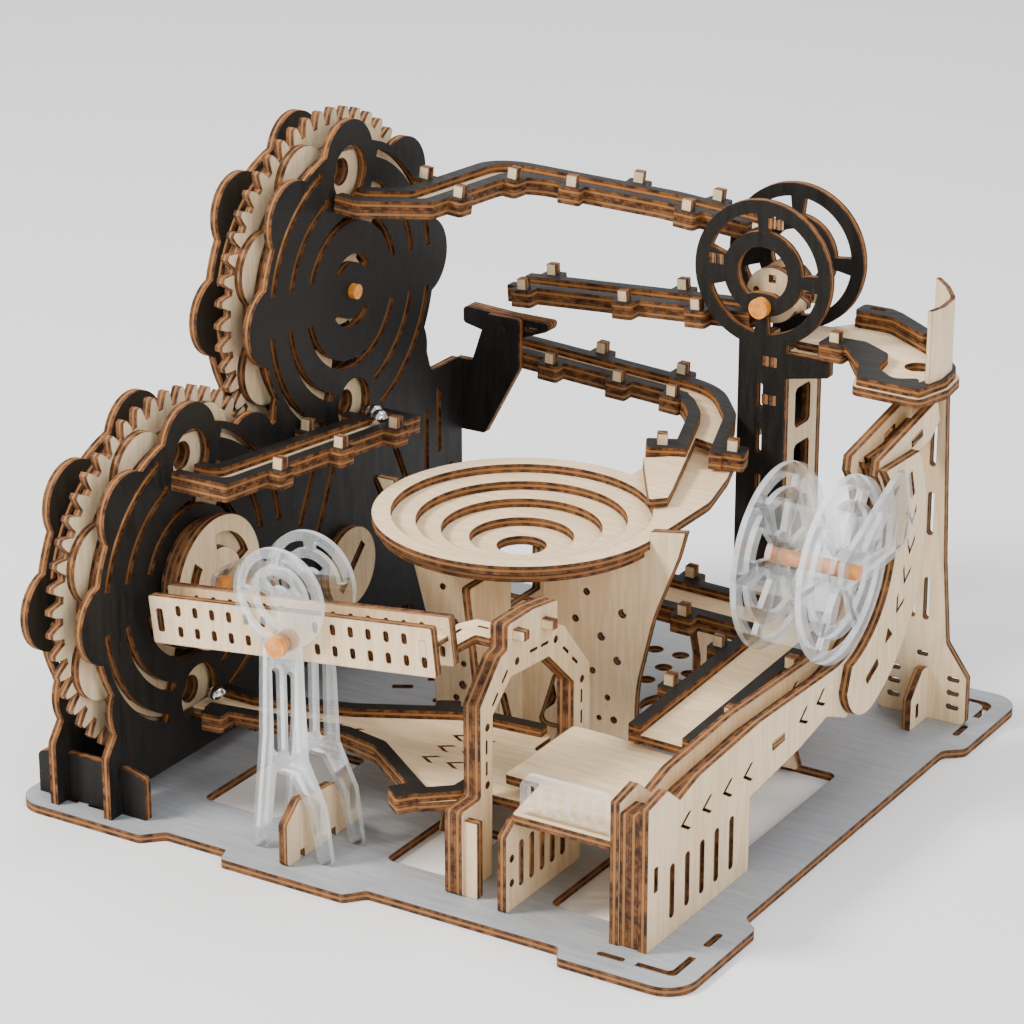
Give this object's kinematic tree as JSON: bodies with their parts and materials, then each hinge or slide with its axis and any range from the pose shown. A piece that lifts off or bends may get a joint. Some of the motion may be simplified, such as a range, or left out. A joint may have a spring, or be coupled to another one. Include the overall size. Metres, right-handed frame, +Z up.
{
  "type": "marble run puzzle",
  "caption": "Plywood marble-run puzzle: a geared two-wheel ball lift feeds tracks, a tower, a slide with a paddle wheel, a stepped funnel and a seesaw on a board.",
  "frame": {"origin": "centre of the board's underside", "axes": "+Z up, +X to the right seen from the front where the seesaw stands, +Y to the back"},
  "size_m": [0.242, 0.2518, 0.1986],
  "materials": {
    "wood_pale": "matt, laser-cut brown edges",
    "wood_black": "printed black faces, laser-cut brown edges",
    "wood_grey": "printed grey top, laser-cut brown edges",
    "acrylic_clear": "clear polished sheet",
    "axle_orange": "satin",
    "ball_steel": "polished"
  },
  "bodies": {
    "board": {"arch_gate": "wood_pale", "base_board": "wood_grey", "collecting_borders": "wood_black", "collecting_floor": "wood_pale", "face_pieces": "wood_pale", "flipper_bracket": "wood_black", "funnel_rim": "wood_pale", "funnel_rings": "wood_pale", "funnel_support_cross": "wood_pale", "funnel_support_long": "wood_pale", "landing_comb": "acrylic_clear", "landing_floor": "wood_pale", "landing_side_plate": "wood_pale", "lift_back_plate": "wood_black", "lift_braces": "wood_black", "lift_front_plate": "wood_black", "link_track_borders": "wood_black", "link_track_floor": "wood_pale", "long_track_borders": "wood_black", "long_track_floor": "wood_pale", "middle_track_borders": "wood_black", "middle_track_floor": "wood_pale", "paddle_bracket": "acrylic_clear", "rear_stand": "wood_pale", "return_track_borders": "wood_black", "return_track_floor": "wood_pale", "seesaw_frames": "acrylic_clear", "side_pieces": "wood_pale", "slide_blocks": "wood_pale", "slide_floor": "wood_pale", "slide_inner_rail": "wood_pale", "slide_outer_rail": "wood_pale", "top_track_borders": "wood_black", "top_track_floor": "wood_pale", "tower_axle": "axle_orange", "tower_plates": "wood_black", "tower_side_plates": "wood_pale", "track_pegs": "wood_pale", "turn_borders": "wood_black", "turn_deflector": "wood_pale", "turn_floor": "wood_pale"},
    "lower_wheel": {"lower_gear": "wood_pale", "lower_pocket_wheel": "wood_pale", "lower_axle": "axle_orange", "crank_drum": "wood_pale", "crank_handle": "acrylic_clear"},
    "upper_wheel": {"upper_gear": "wood_pale", "upper_pocket_wheel": "wood_pale", "upper_axle": "axle_orange"},
    "seesaw": {"seesaw_sides": "wood_pale", "seesaw_floor": "wood_pale", "seesaw_axle": "axle_orange"},
    "paddles": {"paddle_wheel": "acrylic_clear", "paddle_axle": "axle_orange"},
    "diverter": {"diverter": "wood_pale"},
    "flipper": {"flipper_arm": "wood_black", "flipper_plate": "wood_pale"},
    "ball_upper_1": {"ball_upper_1": "ball_steel"},
    "ball_upper_2": {"ball_upper_2": "ball_steel"},
    "ball_lower": {"ball_lower": "ball_steel"}
  },
  "joints": [
    {"name": "lower_wheel_spin", "type": "hinge", "parent": "board", "child": "lower_wheel", "pos_m": [-0.095, -0.0672, 0.069], "axis": [1, 0, 0], "continuous": true},
    {"name": "upper_wheel_spin", "type": "hinge", "parent": "board", "child": "upper_wheel", "pos_m": [-0.095, 0.0236, 0.139], "axis": [1, 0, 0], "continuous": true},
    {"name": "seesaw_tilt", "type": "hinge", "parent": "board", "child": "seesaw", "pos_m": [-0.0253, -0.096, 0.0726], "axis": [0, 1, 0], "range_deg": [0, 14]},
    {"name": "paddle_spin", "type": "hinge", "parent": "board", "child": "paddles", "pos_m": [0.095, 0.014, 0.083], "axis": [1, 0, 0], "continuous": true},
    {"name": "diverter_tilt", "type": "hinge", "parent": "board", "child": "diverter", "pos_m": [0.0337, 0.102, 0.1354], "axis": [0, 1, 0], "range_deg": [-12, 12]},
    {"name": "flipper_tilt", "type": "hinge", "parent": "board", "child": "flipper", "pos_m": [-0.068, 0.097, 0.109], "axis": [0, 1, 0], "range_deg": [-8, 8]},
    {"name": "ball_upper_1_roll", "type": "slide", "parent": "board", "child": "ball_upper_1", "axis": [-1, 0, 0], "range_m": [0, 0.006]},
    {"name": "ball_upper_2_roll", "type": "slide", "parent": "board", "child": "ball_upper_2", "axis": [0, -0.995, 0.0995], "range_m": [0, 0.06]},
    {"name": "ball_lower_roll", "type": "slide", "parent": "board", "child": "ball_lower", "axis": [0.9998, 0, 0.02], "range_m": [0, 0.02]}
  ],
  "couplings": [
    {"joint": "upper_wheel_spin", "follows": "lower_wheel_spin", "ratio": -1}
  ]
}
